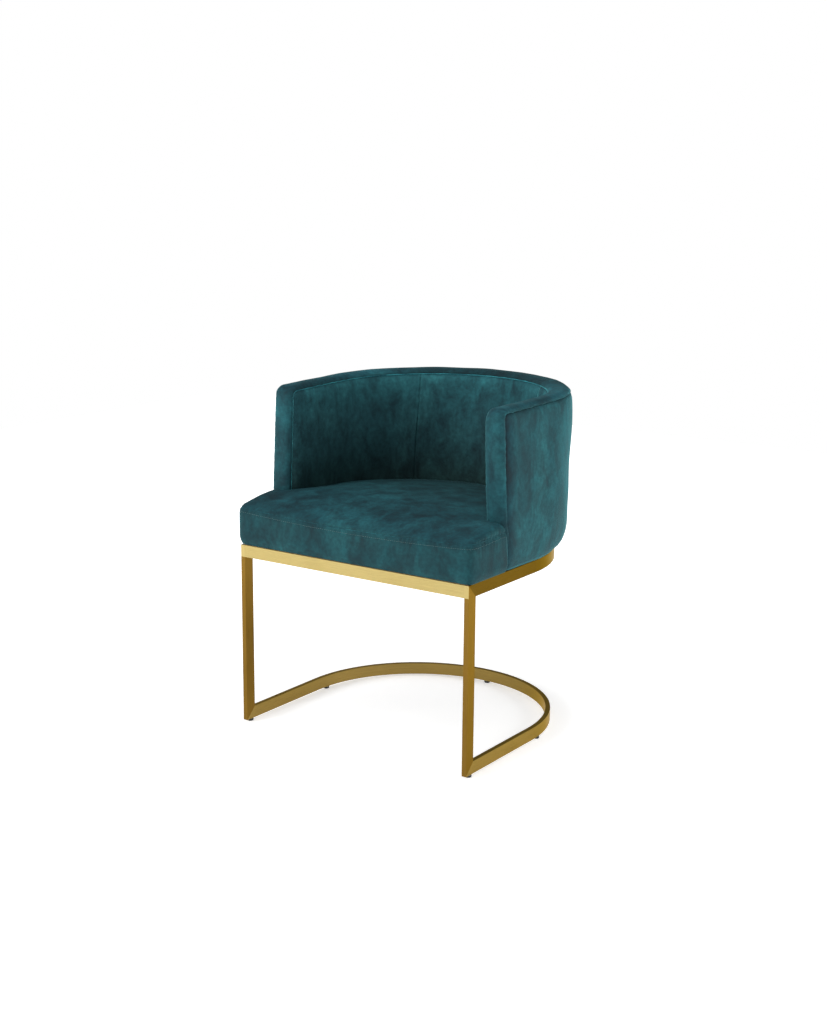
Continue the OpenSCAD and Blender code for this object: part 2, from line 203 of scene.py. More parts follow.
def velvet(name, light=1.0, pile_seed=0.0, sheen=0.46, flat=0.50, shade=None):
    """Short cut pile: brushed patches of nap, a fine pile, and sheen at the edges. Light scales the
    whole colour, for lit and shaded copies: painted light and shade. Flat is how light upward faces
    are painted; shade is (axis, from, to, tints), painted shade and light that change along an axis."""
    m, nt, p, co = new_material(name)
    shift = nt.nodes.new("ShaderNodeMapping")
    shift.inputs["Location"].default_value = (pile_seed, 0.37 * pile_seed, 0.11 * pile_seed)
    nt.links.new(co, shift.inputs["Vector"])
    base = shift.outputs[0]
    nap = noise_tex(nt, mapped(nt, base, (8.0, 8.0, 4.6)), 1.0, 4.0, 0.55, 0.8)
    brushed = noise_tex(nt, mapped(nt, base, (27, 27, 16)), 1.0, 5.0, 0.62, 0.5)
    pile = noise_tex(nt, mapped(nt, base, (1500, 1500, 1100)), 1.0, 2.0, 0.6)
    mottle = noise_tex(nt, base, 130.0, 3.0, 0.6)
    c = [tuple(light * v for v in col) for col in
         ((0.0044, 0.0292, 0.0368), (0.0075, 0.0484, 0.0585), (0.0140, 0.0828, 0.0930))]
    tone = ramp(nt, nap, [(0.20, c[0]), (0.50, c[1]), (0.82, c[2])])
    strokes = ramp(nt, brushed, [(0.34, (0.44, 0.48, 0.52)), (0.66, (1.52, 1.48, 1.44))])
    tone = mix(nt, "MULTIPLY", 0.9, tone, strokes)
    specks = ramp(nt, mottle, [(0.3, (0.70, 0.72, 0.74)), (0.7, (1.26, 1.24, 1.22))])
    tone = mix(nt, "MULTIPLY", 0.8, tone, specks)
    facing = nt.nodes.new("ShaderNodeNewGeometry")
    split = nt.nodes.new("ShaderNodeSeparateXYZ")
    nt.links.new(facing.outputs["Normal"], split.inputs[0])
    # Painted light and shade on faces that look up: flat makes them lighter or darker.
    up_facing_painted_tone = ramp(nt, split.outputs["Z"], [(0.35, (1.0, 1.0, 1.0)), (0.95, (0.92 * flat, flat, 1.07 * flat))])
    tone = mix(nt, "MULTIPLY", 1.0, tone, up_facing_painted_tone)
    # Painted shade and light that change along one axis.
    if shade:
        axis, start, stop, tones = shade
        place = nt.nodes.new("ShaderNodeSeparateXYZ")
        nt.links.new(co, place.inputs[0])
        along = grey(nt, place.outputs[axis], 0.0, 1.0, start, stop)
        stops = [(i / (len(tones) - 1), t) for i, t in enumerate(tones)]
        tone = mix(nt, "MULTIPLY", 1.0, tone, ramp(nt, along, stops))
    nt.links.new(tone, p.inputs["Base Color"])
    nt.links.new(grey(nt, split.outputs["Z"], sheen, 0.16 * sheen, 0.35, 0.95), p.inputs["Sheen Weight"])
    nt.links.new(grey(nt, brushed, 0.74, 0.92), p.inputs["Roughness"])
    p.inputs["Specular IOR Level"].default_value = 0.18
    p.inputs["Sheen Roughness"].default_value = 0.32
    p.inputs["Sheen Tint"].default_value = (0.20, 0.74, 0.80, 1)
    n1 = bump(nt, pile, 0.35, 0.0004)
    n2 = bump(nt, mottle, 0.16, 0.0008, n1)
    nt.links.new(bump(nt, brushed, 0.25, 0.002, n2), p.inputs["Normal"])
    return m


def thread(name, colour):
    m, nt, p, co = new_material(name)
    twist = noise_tex(nt, mapped(nt, co, (2600, 2600, 2600)), 1.0, 2.0)
    lo = tuple(0.7 * c for c in colour)
    nt.links.new(ramp(nt, twist, [(0.3, lo), (0.7, colour)]), p.inputs["Base Color"])
    nt.links.new(grey(nt, twist, 0.5, 0.7), p.inputs["Roughness"])
    nt.links.new(bump(nt, twist, 0.4, 0.0002), p.inputs["Normal"])
    p.inputs["Sheen Weight"].default_value = 0.25
    return m


def plywood(name):
    m, nt, p, co = new_material(name)
    grain = noise_tex(nt, mapped(nt, co, (6, 110, 60)), 1.0, 6.0, 0.6, 0.6)
    ply = nt.nodes.new("ShaderNodeTexWave")
    ply.wave_type, ply.bands_direction = "BANDS", "Z"
    ply.inputs["Scale"].default_value = 110.0
    ply.inputs["Distortion"].default_value = 0.6
    ply.inputs["Detail"].default_value = 1.0
    nt.links.new(co, ply.inputs["Vector"])
    tone = ramp(nt, grain, [(0.25, (0.30, 0.185, 0.09)), (0.5, (0.47, 0.32, 0.17)),
                            (0.8, (0.60, 0.44, 0.26))])
    layers = ramp(nt, ply.outputs["Fac"], [(0.2, (0.72, 0.68, 0.62)), (0.6, (1, 1, 1))])
    nt.links.new(mix(nt, "MULTIPLY", 0.45, tone, layers), p.inputs["Base Color"])
    nt.links.new(grey(nt, grain, 0.55, 0.8), p.inputs["Roughness"])
    nt.links.new(bump(nt, grain, 0.3, 0.0005), p.inputs["Normal"])
    return m


def zinc(name):
    m, nt, p, co = new_material(name)
    spangle = noise_tex(nt, co, 420.0, 4.0, 0.6)
    nt.links.new(ramp(nt, spangle, [(0.3, (0.42, 0.42, 0.40)), (0.7, (0.66, 0.66, 0.63))]),
                 p.inputs["Base Color"])
    nt.links.new(grey(nt, spangle, 0.28, 0.46), p.inputs["Roughness"])
    nt.links.new(bump(nt, spangle, 0.12, 0.0002), p.inputs["Normal"])
    p.inputs["Metallic"].default_value = 1.0
    return m


def black_plastic(name):
    m, nt, p, co = new_material(name)
    grain = noise_tex(nt, co, 900.0, 3.0, 0.6)
    scuff = noise_tex(nt, mapped(nt, co, (60, 60, 300)), 1.0, 4.0, 0.6)
    nt.links.new(ramp(nt, scuff, [(0.35, (0.008, 0.008, 0.008)), (0.75, (0.03, 0.03, 0.029))]),
                 p.inputs["Base Color"])
    nt.links.new(grey(nt, scuff, 0.42, 0.62), p.inputs["Roughness"])
    nt.links.new(bump(nt, grain, 0.25, 0.0002), p.inputs["Normal"])
    return m


def lining(name):
    """Thin black non-woven cloth under the seat."""
    m, nt, p, co = new_material(name)
    fibre = noise_tex(nt, mapped(nt, co, (700, 240, 500)), 1.0, 5.0, 0.7, 1.5)
    dots = nt.nodes.new("ShaderNodeTexVoronoi")
    dots.inputs["Scale"].default_value = 420.0
    nt.links.new(co, dots.inputs["Vector"])
    nt.links.new(ramp(nt, fibre, [(0.3, (0.009, 0.009, 0.010)), (0.75, (0.032, 0.032, 0.034))]),
                 p.inputs["Base Color"])
    nt.links.new(grey(nt, fibre, 0.8, 0.95), p.inputs["Roughness"])
    n1 = bump(nt, dots.outputs["Distance"], 0.4, 0.0006)
    nt.links.new(bump(nt, fibre, 0.35, 0.0004, n1), p.inputs["Normal"])
    return m


# One brass in lit and shaded copies: apart from the brushing direction, the tints are painted shade on the
# upper rail, tabs, floor rail and legs, and a painted highlight on the front rail.
M_RAIL_PAINTED_SHADE = brass("brass_rail_painted_shade", (14, 14, 1500), (0.100, 0.058, 0.012))
M_FLOOR_RAIL_PAINTED_SHADE = brass("brass_floor_rail_painted_shade", (14, 14, 1500), (0.30, 0.205, 0.058))
M_LEG_PAINTED_SHADE_AND_HIGHLIGHT = brass("brass_leg_painted_shade_and_highlight", (1500, 1500, 14), (0.190, 0.108, 0.020), (0.40, 0.315, 0.125))
M_FRONT_PAINTED_HIGHLIGHT = brass("brass_front_painted_highlight", (14, 1500, 1500), (0.40, 0.315, 0.125))
# Seat velvet: painted shade darkening the top towards the rear, where it meets the back, and a painted
# lighter tone on its top.
M_SEAT_PAINTED_SHADE = velvet("velvet_seat_painted_shade", 0.84, 1.7, 0.40, 1.12,
                ("Y", -0.12, 0.20, ((1.0, 1.0, 1.0), (0.66, 0.62, 0.60), (0.24, 0.20, 0.20))))
# Outer cover velvet: a painted shade band along the arms' front edge beside the seam, and painted darker
# tops.
M_BACK_PAINTED_SHADE = velvet("velvet_back_painted_shade", 1.02, 6.3, 0.46, 0.50,
                ("Y", -0.160, -0.124, ((0.30, 0.32, 0.38), (0.66, 0.68, 0.74), (1.0, 1.0, 1.0))))
# Rim band velvet: painted light and shade along y, lighter part way back and darker at the rear, and lighter
# painted tops.
M_BAND_PAINTED_LIGHT_AND_SHADE = velvet("velvet_band", 1.08, 9.2, 0.50, 1.10,
                ("Y", -0.16, 0.26, [(t, t, 1.02 * t) for t in (1.0, 0.80, 0.80, 1.10, 1.10, 0.50, 0.40)]))
# Inside velvet: painted shade low down, darker and greyer, and painted light just under the rim.
M_INSIDE_PAINTED_LIGHT_AND_SHADE = velvet("velvet_inside_painted_light_and_shade", 1.1, 12.4, 0.40, 0.60,
                  ("Z", 0.475, 0.700, ((1.20, 0.62, 0.54), (1.45, 0.98, 0.96), (1.50, 1.15, 1.15),
                                       (1.90, 1.80, 1.75))))
# A four times lighter copy of the velvet: painted highlight for the rim's inner lip.
M_LIP_PAINTED_HIGHLIGHT = velvet("velvet_lip_painted_highlight", 4.0, 4.4, 0.9, 0.9)
M_THREAD = thread("thread_teal", (0.018, 0.075, 0.080))
M_PLY = plywood("plywood_raw")
M_ZINC = zinc("zinc_plate")
M_BLACK = black_plastic("glide_black")
M_LINING = lining("dust_lining")


def paint(node, material):
    o = NODES[node]
    o.data.materials.clear()
    o.data.materials.append(material)


for n in ("front_rail", "upper_rail", "left_leg", "right_leg", "floor_rail"):
    edge = NODES[n].modifiers.new("edge", "BEVEL")
    edge.width, edge.segments, edge.limit_method = 0.0007, 2, "ANGLE"
    edge.angle_limit = math.radians(50)

for n in NODES:
    if n in ("left_leg", "right_leg"):
        paint(n, M_LEG_PAINTED_SHADE_AND_HIGHLIGHT)
    elif n == "front_rail":
        paint(n, M_FRONT_PAINTED_HIGHLIGHT)
    elif n in ("upper_rail", "mounting_tabs"):
        paint(n, M_RAIL_PAINTED_SHADE)
    elif n == "floor_rail":
        paint(n, M_FLOOR_RAIL_PAINTED_SHADE)
    elif n.startswith("glide_pad"):
        paint(n, M_BLACK)
    elif n in ("seat_board", "back_shell", "back_base_ring", "left_arm_post", "right_arm_post"):
        paint(n, M_PLY)
    elif n == "dust_cover":
        paint(n, M_LINING)
    else:
        paint(n, M_ZINC)

# ---------------------------------------------------------------- mesh helpers


def make_object(name, verts, faces, material, smooth=True):
    me = bpy.data.meshes.new(name)
    me.from_pydata([tuple(v) for v in verts], [], faces)
    me.update()
    me.materials.append(material)
    o = bpy.data.objects.new(name, me)
    bpy.context.scene.collection.objects.link(o)
    if smooth:
        me.shade_smooth()
    return o


def grid_faces(rows, cols, flip=False):
    out = []
    for i in range(rows - 1):
        for j in range(cols - 1):
            q = (i * cols + j, i * cols + j + 1, (i + 1) * cols + j + 1, (i + 1) * cols + j)
            out.append(q[::-1] if flip else q)
    return out


def apply_modifiers(o):
    dg = bpy.context.evaluated_depsgraph_get()
    me = bpy.data.meshes.new_from_object(o.evaluated_get(dg))
    o.modifiers.clear()
    old = o.data
    o.data = me
    bpy.data.meshes.remove(old)


def thicken(o, depth):
    """Closes a sheet into a solid by adding its underside, depth inside."""
    mod = o.modifiers.new("depth", "SOLIDIFY")
    mod.thickness = depth
    mod.offset = -1
    apply_modifiers(o)


# ---------------------------------------------------------------- shape of the back


def outer_plan(z):
    t = 0.0 if z >= TUCK_Z else ((TUCK_Z - z) / (TUCK_Z - SKIRT_Z)) ** 2
    return BACK_R - (BACK_R - BASE_R + 0.002) * t, BACK_Y - (BACK_Y - BEND_Y) * t


def inner_plan(z):
    t = smoothstep(z, KNEE_Z - 0.06, RIM_Z + 0.10) / smoothstep(RIM_Z, KNEE_Z - 0.06, RIM_Z + 0.10)
    return LINER_R + (LINER_TOP_R - LINER_R) * t, LINER_Y + (LINER_TOP_Y - LINER_Y) * t


def arm_y(z):
    down = max(0.0, (WING_TOP_Z - z) / (WING_TOP_Z - SKIRT_Z))
    return ARM_FRONT_Y + (ARM_FOOT_Y - ARM_FRONT_Y) * down ** 0.5


def rim_z(y):
    return RIM_Z - RIM_FALL * (BACK_Y + BACK_R - y) / (BACK_Y + BACK_R - ARM_FRONT_Y)


def tucked(z, height):
    """One at the covers' lower edge, easing to nothing at a height above it."""
    return max(0.0, 1 - (z - SKIRT_Z) / height) ** 2


def out_swell(st, z):
    """How far the padding stands out from the plain wall. The arms lean in toward the top; the
    rear has a roll low down and a fuller belly above it."""
    arm = 0.005 - ARM_LEAN * max(0.0, z - LEAN_Z) - 0.003 * tucked(z, 0.022)
    rear = 0.0043 + 0.0046 * bell(z - BELLY_Z, 0.070) + 0.0105 * bell(z - ROLL_Z, 0.041)
    rear -= 0.0095 * tucked(z, 0.012)
    w = smoothstep(st.turn(), 0.0, 0.6)
    return (1 - w) * arm + w * rear


def in_swell(st, z):
    t = min(1.0, max(0.0, (z - 0.45) / (RIM_Z - 0.45)))
    arm = 0.0095 - 0.0035 * (1 - t) ** 2
    near = (1 - smoothstep(st.turn(), 0.0, 0.5)) * (1 - 0.5 * smoothstep(st.dist, 0.0, LEAD))
    return near * arm + (1 - near) * 0.0045 * math.sin(math.pi * t) ** 0.8


def front_fall(sign, z):
    """How far the cover drops to its seam at the arm's front edge."""
    if sign > 0:
        return SEAM_FALL
    return float(np.interp(z, (0.50, 0.69), (0.0110, 0.0035)))


class Station:
    """One place round the back: on the right arm, the bend, or the left arm."""

    def __init__(self, part, value, dist):
        self.part, self.value, self.dist = part, value, dist

    def turn(self):
        return min(self.value, math.pi - self.value) if self.part == "bend" else 0.0

    def at(self, r, cy, z):
        y0 = arm_y(z)
        if self.part == "bend":
            a = self.value
            return Vector((r * math.cos(a), cy + r * math.sin(a), z)), Vector((math.cos(a), math.sin(a), 0))
        side = 1 if self.part == "right" else -1
        return Vector((side * r, y0 + self.value * (cy - y0), z)), Vector((side, 0, 0))


def stations(n_arm, n_bend, lead):
    """Stations from the right arm front round to the left one, closer together at the arm
    fronts; lead is the straight's length, used for distances from the front edge."""
    out = []
    for i in range(n_arm):
        f = (i / n_arm) ** 1.6
        out.append(Station("right", f, f * lead))
    for i in range(n_bend + 1):
        a = math.pi * i / n_bend
        d = lead + BACK_R * min(a, math.pi - a)
        out.append(Station("bend", a, d))
    for i in reversed(range(n_arm)):
        f = (i / n_arm) ** 1.6
        out.append(Station("left", f, f * lead))
    return out


LEAD = BACK_Y - arm_y(RIM_Z)
OUT_SEAM_DROP, IN_SEAM_DROP = 0.0070, 0.0085
ARM_STEPS, BEND_STEPS = 34, 150
ST = stations(ARM_STEPS, BEND_STEPS, LEAD)


def corner_drop(d, r):
    return 0.0 if d >= r else r - math.sqrt(max(0.0, r * r - (r - d) ** 2))


def seam_ripple(s, along, amp):
    return amp * (0.6 * math.sin(along * 520 + s) + 0.4 * math.sin(along * 835 + 2.1 * s))


def wall(name, plan, seam_drop, z_low, sign, corner, sts, material, inner_seams=False):
    """A panel of the back: rows up the wall at every station, drawn in to its seams.
    Returns the piece and its edge, from the foot of its first column over the top."""
    verts, cols = [], len(sts)
    for i in range(ROWS):
        v = i / (ROWS - 1)
        for st in sts:
            top = rim_z(st.at(BACK_R, BACK_Y, 0.7)[0].y) - seam_drop - corner_drop(st.dist, corner)
            z = z_low + (top - z_low) * (1 - (1 - v) ** 1.35)
            r, cy = plan(z)
            p, n = st.at(r, cy, z)
            to_top = top - z
            edge = min(to_top, st.dist)
            fall = max(SEAM_FALL * math.exp(-to_top / 0.006),
                       front_fall(sign, z) * math.exp(-st.dist / 0.009))
            fine = seam_ripple(1.0 if sign > 0 else 4.0, st.dist + 0.7 * z, 0.00035)
            fine *= math.exp(-edge / 0.018)
            big = 0.0022 * noise.noise(Vector((p.x * 7, p.y * 7, z * 5 + 3 * sign)))
            small = 0.0007 * noise.noise(Vector((p.x * 26, p.y * 26, z * 17 + 9 * sign)))
            off = big + small + fine - fall + (out_swell if sign > 0 else in_swell)(st, z)
            if inner_seams:
                a = LINER_R * abs(st.turn() - SEAM_TURN) if st.part == "bend" else 1.0
                off -= 0.0014 * math.exp(-a / 0.003)
                lean = bell(a, 0.045) * smoothstep(edge, 0.0, 0.05)
                off += 0.0008 * lean * math.sin(a * 430 + 1.5 * math.sin(z * 31))
            verts.append(p + n * (sign * off))
    o = make_object(name, verts, grid_faces(ROWS, cols, flip=sign < 0), material)
    first = [verts[i * cols] for i in range(ROWS)]
    last = [verts[i * cols + cols - 1] for i in range(ROWS)]
    return o, first, verts[-cols:], last


ROWS = 64
SEAM_FALL = 0.0052
COVER_T = 0.003
SPLIT = ARM_STEPS + round(BEND_STEPS * SEAM_TURN / math.pi)
IN_LOW = BOARD_TOP + 0.002
outside, of, ot, ol = wall("outside_cover", outer_plan, OUT_SEAM_DROP, SKIRT_Z, 1, 0.010, ST, M_BACK_PAINTED_SHADE)
inside = [wall("inside_cover_" + name, inner_plan, IN_SEAM_DROP, IN_LOW, -1, 0.014, sts, M_INSIDE_PAINTED_LIGHT_AND_SHADE, True)
          for name, sts in (("right", ST[:SPLIT + 1]), ("middle", ST[SPLIT:-SPLIT]),
                            ("left", ST[-SPLIT - 1:]))]
edge_out = of[:-1] + ot + ol[-2::-1]
edge_in = inside[0][1][:-1]
for part in inside:
    edge_in += part[2][1 if part is not inside[0] else 0:]
edge_in += inside[2][3][-2::-1]


def band(name, a_line, b_line, across, rise, material):
    """The strip between two edges, domed between its seams."""
    n = len(a_line)
    verts = []
    for i in range(n):
        a, b = a_line[i], b_line[i]
        k0, k1 = max(0, i - 1), min(n - 1, i + 1)
        run = (a_line[k1] - a_line[k0]) + (b_line[k1] - b_line[k0])
        up = run.cross(b - a)
        up.normalize()
        for j in range(across):
            w = j / (across - 1)
            dome = (1 - abs(2 * w - 1) ** 3.6) ** 0.8
            p = a.lerp(b, w)
            ripple = 0.0004 * math.sin(i * 0.9 + 3 * w) * (1 - dome)
            soft = 0.0012 * noise.noise(p * 14) * dome
            verts.append(p + up * (rise * dome + ripple + soft))
    return make_object(name, verts, grid_faces(n, across), material)


rim = band("rim_band_cover", edge_out, edge_in, 21, 0.0078, M_BAND_PAINTED_LIGHT_AND_SHADE)
for o in [outside, rim] + [part[0] for part in inside]:
    thicken(o, COVER_T)

# ---------------------------------------------------------------- seat cushion

WING_Y = ARM_FRONT_Y
TUCKED_IN = 0.022                        # how far the wings run in under the arm fronts
TAIL_R = LINER_R - 0.001
FLAT_Z = 0.470
CORNER = 0.018
HALF = CUSHION_W - 0.003
NOSE_Y = FRONT_Y + 0.001
LOW_Z = SKIRT_Z - 0.008


def seam_height(x, y):
    """Height of the cushion's upper seam, which sags a little in the middle of the front."""
    return 0.4550 + 0.0090 * min(1.0, (x / HALF) ** 2) + 0.003 * smoothstep(y, -0.25, -0.16)


# where the cushion's top is highest along its middle
CREST_Y, CREST_Z = -0.110, 0.4895


def middle_height(y):
    """The top's height along the middle: a fast fall to the nose and a gentle one to the rear."""
    if y < CREST_Y:
        return CREST_Z - 1.8 * (CREST_Y - y) ** 2.4
    return CREST_Z - 0.207 * (y - CREST_Y) ** 2


def crown(x, y):
    z = middle_height(y)
    z -= 0.010 * (min(1.0, abs(x) / 0.236)) ** 2 * smoothstep(y, -0.22, 0.0)
    if y < WING_Y + 0.02:
        d, n = wall_distance(x, y)
        width = 0.012 - 0.0080 * abs(n.x)
        return z + (seam_height(x, y) + 0.001 - z) * math.exp(-max(0.0, d) / width)
    gap = max(0.0, TAIL_R - math.hypot(x, max(0.0, y - LINER_Y)))
    return z - 0.005 * math.exp(-gap / 0.007) * smoothstep(y, WING_Y + 0.02, WING_Y + 0.06)


def front_line(n_side, n_corner, n_front):
    """The cushion's edge in front of the arms: right wing, corner, front, corner, left wing."""
    pts = []
    for i in range(n_side):
        rear = WING_Y + TUCKED_IN
        pts.append((HALF, rear + (NOSE_Y + CORNER - rear) * i / n_side, 1, 0))
    for i in range(n_corner):
        a = -math.pi / 2 * i / n_corner
        pts.append((HALF - CORNER + CORNER * math.cos(a), NOSE_Y + CORNER + CORNER * math.sin(a),
                    math.cos(a), math.sin(a)))
    half = HALF - CORNER
    right = pts + [(half * (1 - i / n_front), NOSE_Y, 0, -1) for i in range(n_front)]
    left = [(-x, y, -nx, ny) for x, y, nx, ny in reversed(right)]
    return right + [(0, NOSE_Y, 0, -1)] + left


def tail_line(n):
    """The cushion's edge between the arms, from the left arm round to the right."""
    pts = [(-TAIL_R, WING_Y + TUCKED_IN)]
    for i in range(n + 1):
        a = math.pi - math.pi * i / n
        pts.append((TAIL_R * math.cos(a), LINER_Y + TAIL_R * math.sin(a)))
    return pts + [(TAIL_R, WING_Y + TUCKED_IN)]


def cushion_blank():
    """A flat-topped slab in the cushion's outline."""
    ring = [(x, y) for x, y, _, _ in front_line(6, 10, 12)] + tail_line(48)
    bm = bmesh.new()
    low = [bm.verts.new((x, y, LOW_Z)) for x, y in ring]
    high = [bm.verts.new((x, y, FLAT_Z)) for x, y in ring]
    n = len(ring)
    bm.faces.new(low[::-1])
    bm.faces.new(high)
    for i in range(n):
        bm.faces.new((low[i], low[(i + 1) % n], high[(i + 1) % n], high[i]))
    bmesh.ops.recalc_face_normals(bm, faces=bm.faces)
    me = bpy.data.meshes.new("seat_cushion")
    bm.to_mesh(me)
    bm.free()
    o = bpy.data.objects.new("seat_cushion", me)
    bpy.context.scene.collection.objects.link(o)
    return o


def wall_distance(x, y):
    """How far inside the front part's edge a point is, and the edge's outward direction."""
    ax = abs(x)
    side = 1 if x > 0 else -1
    cx, cy = HALF - CORNER, NOSE_Y + CORNER
    if ax > cx and y < cy:
        dx, dy = ax - cx, y - cy
        d = math.hypot(dx, dy)
        return CORNER - d, Vector((side * dx / max(d, 1e-6), dy / max(d, 1e-6), 0))
    if HALF - ax < y - NOSE_Y:
        return HALF - ax, Vector((side, 0, 0))
    return y - NOSE_Y, Vector((0, -1, 0))


cushion = cushion_blank()
mod = cushion.modifiers.new("remesh", "REMESH")
mod.mode, mod.voxel_size = "VOXEL", 0.005
apply_modifiers(cushion)
mod = cushion.modifiers.new("soften", "SMOOTH")
mod.factor, mod.iterations = 0.6, 3
apply_modifiers(cushion)

for v in cushion.data.vertices:
    x, y, z = v.co
    h = crown(x, y)
    z = max(z, SKIRT_Z - 0.0006)
    v.co.z = SKIRT_Z + (z - SKIRT_Z) * (h - SKIRT_Z) / (FLAT_Z - SKIRT_Z)


def inflate(o, hold, pressure, limit, frames=20):
    """Cloth with pressure, held where hold(v) says, moved no further than limit."""
    start = [v.co.copy() for v in o.data.vertices]
    group = o.vertex_groups.new(name="hold")
    for v in o.data.vertices:
        w = hold(v.co)
        if w > 0:
            group.add([v.index], w, "REPLACE")
    mod = o.modifiers.new("cloth", "CLOTH")
    cs = mod.settings
    cs.quality = 5
    cs.mass = 0.3
    cs.tension_stiffness = cs.compression_stiffness = 14
    cs.shear_stiffness = 6
    cs.bending_stiffness = 0.6
    cs.use_pressure = True
    cs.uniform_pressure_force = pressure
    cs.vertex_group_mass = "hold"
    cs.effector_weights.gravity = 0
    mod.point_cache.frame_start, mod.point_cache.frame_end = 1, frames
    for f in range(1, frames + 1):
        bpy.context.scene.frame_set(f)
    apply_modifiers(o)
    bpy.context.scene.frame_set(1)
    for v, s in zip(o.data.vertices, start):
        d = v.co - s
        if d.length > limit:
            v.co = s + d * (limit / d.length)


def hold_cushion(p):
    if p.z < SKIRT_Z + 0.004:
        return 1.0
    if p.y > WING_Y - 0.002 and (abs(p.x) > TAIL_R or p.z < crown(p.x, p.y) - 0.02):
        return 1.0
    d, _ = wall_distance(p.x, p.y)
    if p.y < WING_Y and d < 0.008 and abs(p.z - seam_height(p.x, p.y)) < 0.004:
        return 0.9
    if p.y > WING_Y and math.hypot(p.x, max(0, p.y - LINER_Y)) > TAIL_R - 0.006:
        return 0.9
    return 0.0


inflate(cushion, hold_cushion, 3.0, 0.007)

mod = cushion.modifiers.new("soften", "SMOOTH")
mod.factor, mod.iterations = 0.4, 2
apply_modifiers(cushion)
mod = cushion.modifiers.new("fine", "SUBSURF")
mod.levels = mod.render_levels = 1
apply_modifiers(cushion)

for v in cushion.data.vertices:
    p = v.co
    if p.y < WING_Y + TUCKED_IN + 0.004:
        d, n = wall_distance(p.x, p.y)
        if d < 0.02:
            near = smoothstep(0.02 - d, 0.0, 0.012)
            dz = p.z - seam_height(p.x, p.y)
            cut = 0.0030 * math.exp(-(dz / 0.0030) ** 2) + 0.0006 * math.exp(-((dz + 0.0075) / 0.002) ** 2)
            foot = 0.0065 * max(0.0, (SKIRT_Z + 0.020 - p.z) / 0.020) ** 2
            round_end = corner_drop(max(0.0, arm_y(p.z) + 0.001 - p.y), 0.012) if abs(n.x) > 0.9 else 0.0
            along = p.x + p.y
            pucker = 0.0004 * math.sin(along * 610) * math.exp(-abs(dz) / 0.014)
            v.co = p - n * min(0.0120, near * (cut + foot - pucker) + round_end)
    if p.z > 0.43:
        v.co.z += 0.0016 * noise.noise(Vector((p.x * 9, p.y * 9, 0.3))) + 0.0005 * noise.noise(p * 38)
cushion.data.materials.clear()
cushion.data.materials.append(M_SEAT_PAINTED_SHADE)
cushion.data.shade_smooth()

# ---------------------------------------------------------------- stitching

def stitch_row(name, places, length, gap, radius, material, sink=0.3):
    """Short thread stitches along a line of (point, normal): real lengths and gaps."""
    verts, faces = [], []
    run = [0.0]
    for a, b in zip(places, places[1:]):
        run.append(run[-1] + (b[0] - a[0]).length)
    sides, rings = 6, 5
    at = 0.0

    def spot(s):
        lo = np.searchsorted(run, s) - 1
        lo = min(max(lo, 0), len(places) - 2)
        f = (s - run[lo]) / max(1e-9, run[lo + 1] - run[lo])
        return places[lo][0].lerp(places[lo + 1][0], f), places[lo][1].lerp(places[lo + 1][1], f).normalized()

    while at + length < run[-1]:
        base = len(verts)
        for i in range(rings):
            f = i / (rings - 1)
            p, n = spot(at + length * f)
            q, _ = spot(at + length * min(1.0, f + 0.1) if f < 1 else at + length)
            q0, _ = spot(at + length * max(0.0, f - 0.1))
            t = (q - q0).normalized()
            side = t.cross(n).normalized()
            bow = math.sin(math.pi * f)
            rad = radius * (0.45 + 0.55 * bow ** 0.5)
            c = p + n * (radius * (bow * 1.1 - sink))
            for j in range(sides):
                a = 2 * math.pi * j / sides
                verts.append(c + side * (rad * math.cos(a)) + n * (rad * math.sin(a)))
        for i in range(rings - 1):
            for j in range(sides):
                a, b = base + i * sides + j, base + i * sides + (j + 1) % sides
                faces.append((a, b, b + sides, a + sides))
        faces.append(tuple(base + j for j in reversed(range(sides))))
        faces.append(tuple(base + (rings - 1) * sides + j for j in range(sides)))
        at += length + gap
    return make_object(name, verts, faces, material)


def seam_ridge(name, line, radius, material):
    """The raised lip where two covers are sewn together: a fine roll along (point, outward)."""
    verts, sides = [], 6
    for i, (p, n) in enumerate(line):
        ahead, behind = line[min(i + 1, len(line) - 1)][0], line[max(i - 1, 0)][0]
        side = (ahead - behind).cross(n).normalized()
        for j in range(sides):
            a = 2 * math.pi * j / sides
            verts.append(p + side * (radius * math.cos(a)) + n * (radius * math.sin(a)))
    faces = [(i * sides + j, i * sides + (j + 1) % sides, (i + 1) * sides + (j + 1) % sides,
              (i + 1) * sides + j) for i in range(len(line) - 1) for j in range(sides)]
    faces.append(tuple(reversed(range(sides))))
    faces.append(tuple((len(line) - 1) * sides + j for j in range(sides)))
    return make_object(name, verts, faces, material)


def on_surface(o, rays):
    tree = BVHTree.FromPolygons([v.co for v in o.data.vertices],
                                [p.vertices for p in o.data.polygons])
    out = []
    for p, d in rays:
        hit, n, _, _ = tree.ray_cast(p, d, 0.08)
        if hit is not None:
            out.append((hit, n if n.dot(d) < 0 else -n))
    return out


rays = []
for x, y, nx, ny in front_line(60, 24, 160):
    if y > WING_Y - 0.004:
        continue
    n = Vector((nx, ny, 0))
    z = seam_height(x - 0.004 * nx, y - 0.004 * ny) - 0.0075
    rays.append((Vector((x, y, z)) + n * 0.03, -n))
seat_stitches = stitch_row("seat_topstitch", on_surface(cushion, rays), 0.0038, 0.0012, 0.0003, M_THREAD)
seam = []
for x, y, nx, ny in front_line(60, 24, 160):
    n = Vector((nx, ny, 0))
    z = seam_height(x, y)
    seam.append((Vector((x, y, z)) + n * 0.03, -n))
seat_seam = seam_ridge("seat_edge_seam", [(p - n * 0.0002, n) for p, n in on_surface(cushion, seam)],
                       0.0009, M_BAND_PAINTED_LIGHT_AND_SHADE)


